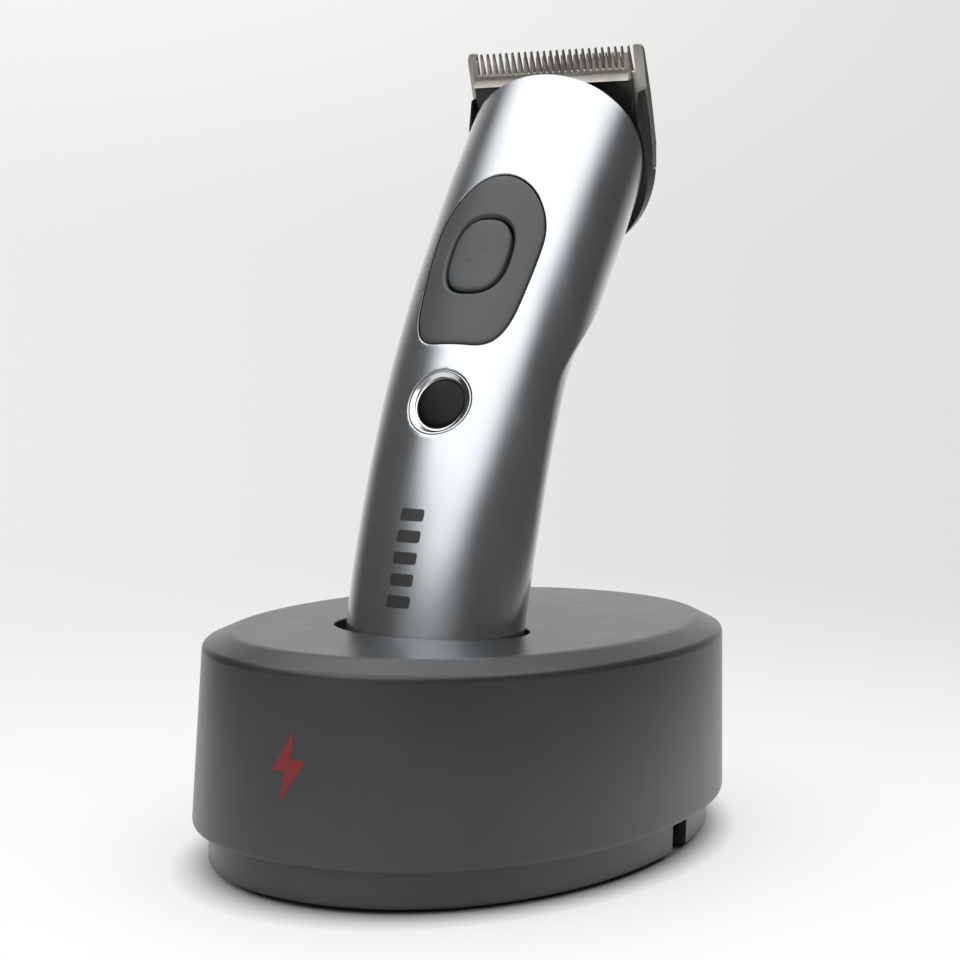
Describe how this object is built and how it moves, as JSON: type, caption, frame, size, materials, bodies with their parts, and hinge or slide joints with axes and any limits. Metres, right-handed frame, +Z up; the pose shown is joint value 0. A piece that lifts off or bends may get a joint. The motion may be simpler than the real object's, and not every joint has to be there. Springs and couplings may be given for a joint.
{
  "type": "cordless hair clipper",
  "caption": "Bent cordless hair clipper with a toothed blade set and one push button, standing in an oval charging stand.",
  "frame": {"origin": "on the table under the middle of the oval stand", "axes": "+Z up, -Y the side with the button, X = 0 the middle plane; the clipper leans back towards +Y as it rises"},
  "size_m": [0.1042, 0.158, 0.1846],
  "materials": {
    "stand_housing": "satin anthracite",
    "stand_base": "satin anthracite",
    "stand_foot_1": "matt black",
    "stand_foot_2": "matt black",
    "stand_foot_3": "matt black",
    "stand_foot_4": "matt black",
    "base_screw_1": "plain",
    "base_screw_2": "plain",
    "base_screw_3": "plain",
    "base_screw_4": "plain",
    "ballast_weight": "plain",
    "charging_board": "green circuit board",
    "power_inlet": "black",
    "contact_pin_left": "gold plated",
    "contact_pin_right": "gold plated",
    "contact_spring_left": "plain",
    "contact_spring_right": "plain",
    "front_shell": "silver metallic lacquer",
    "rear_shell": "silver metallic lacquer",
    "button_panel": "soft dark grey",
    "power_button": "soft dark grey",
    "indicator_ring": "bright",
    "indicator_lens": "smoked",
    "tail_cap": "dark grey",
    "charge_contact_left": "gold plated",
    "charge_contact_right": "gold plated",
    "motor": "plain can",
    "drive_eccentric": "turned",
    "motor_bracket": "dark grey",
    "battery_cell": "blue sleeve",
    "battery_cradle": "dark grey",
    "control_board": "green circuit board",
    "indicator_led": "lamp in a dark holder",
    "button_switch": "black",
    "comb_blade": "ground, warm grey",
    "cutter_blade": "ground, warm grey",
    "drive_fork": "black",
    "blade_carrier": "black",
    "blade_screw_1": "plain",
    "blade_screw_2": "plain",
    "cutter_spring_left": "plain",
    "cutter_spring_right": "plain",
    "length_slider": "black",
    "head_plate": "dark grey"
  },
  "bodies": {
    "stand": {"stand_housing": "stand_housing", "stand_base": "stand_base", "stand_foot_1": "stand_foot_1", "stand_foot_2": "stand_foot_2", "stand_foot_3": "stand_foot_3", "stand_foot_4": "stand_foot_4", "base_screw_1": "base_screw_1", "base_screw_2": "base_screw_2", "base_screw_3": "base_screw_3", "base_screw_4": "base_screw_4", "ballast_weight": "ballast_weight", "charging_board": "charging_board", "power_inlet": "power_inlet", "contact_spring_left": "contact_spring_left", "contact_spring_right": "contact_spring_right"},
    "left_pin": {"contact_pin_left": "contact_pin_left"},
    "right_pin": {"contact_pin_right": "contact_pin_right"},
    "clipper": {"front_shell": "front_shell", "rear_shell": "rear_shell", "button_panel": "button_panel", "indicator_ring": "indicator_ring", "indicator_lens": "indicator_lens", "tail_cap": "tail_cap", "charge_contact_left": "charge_contact_left", "charge_contact_right": "charge_contact_right", "motor": "motor", "motor_bracket": "motor_bracket", "battery_cell": "battery_cell", "battery_cradle": "battery_cradle", "control_board": "control_board", "indicator_led": "indicator_led", "button_switch": "button_switch", "head_plate": "head_plate"},
    "button": {"power_button": "power_button"},
    "eccentric": {"drive_eccentric": "drive_eccentric"},
    "blade_set": {"blade_carrier": "blade_carrier", "blade_screw_1": "blade_screw_1", "blade_screw_2": "blade_screw_2", "cutter_spring_left": "cutter_spring_left", "cutter_spring_right": "cutter_spring_right"},
    "comb": {"comb_blade": "comb_blade"},
    "cutter": {"cutter_blade": "cutter_blade", "drive_fork": "drive_fork"},
    "slider": {"length_slider": "length_slider"}
  },
  "joints": [
    {"name": "clipper_lift", "type": "slide", "parent": "stand", "child": "clipper", "axis": [0, 0.0872, 0.9962], "range_m": [0, 0.06]},
    {"name": "left_pin_press", "type": "slide", "parent": "stand", "child": "left_pin", "axis": [0, 0, -1], "range_m": [0, 0.0015], "stiffness_N_per_m": 200, "springref_m": -0.002, "deforming": ["contact_spring_left"]},
    {"name": "right_pin_press", "type": "slide", "parent": "stand", "child": "right_pin", "axis": [0, 0, -1], "range_m": [0, 0.0015], "stiffness_N_per_m": 200, "springref_m": -0.002, "deforming": ["contact_spring_right"]},
    {"name": "power_button_press", "type": "slide", "parent": "clipper", "child": "button", "axis": [0, 0.8526, -0.5225], "range_m": [0, 0.0008], "stiffness_N_per_m": 600, "springref_m": -0.0015},
    {"name": "motor_spin", "type": "hinge", "parent": "clipper", "child": "eccentric", "pos_m": [0, 0.03424, 0.15557], "axis": [0, 0.6018, 0.7986], "continuous": true},
    {"name": "blade_set_tilt", "type": "hinge", "parent": "clipper", "child": "blade_set", "pos_m": [0, 0.0461, 0.1398], "axis": [-1, 0, 0], "range_deg": [0, 40]},
    {"name": "cutter_stroke", "type": "slide", "parent": "blade_set", "child": "cutter", "axis": [1, 0, 0], "range_m": [-0.0004, 0.002]},
    {"name": "comb_advance", "type": "slide", "parent": "blade_set", "child": "comb", "axis": [0, -0.3551, 0.9348], "range_m": [0, 0.0014]},
    {"name": "length_slide", "type": "slide", "parent": "blade_set", "child": "slider", "axis": [1, 0, 0], "range_m": [0, 0.008]}
  ],
  "couplings": [
    {"joint": "length_slide", "follows": "comb_advance", "ratio": 5.7}
  ]
}
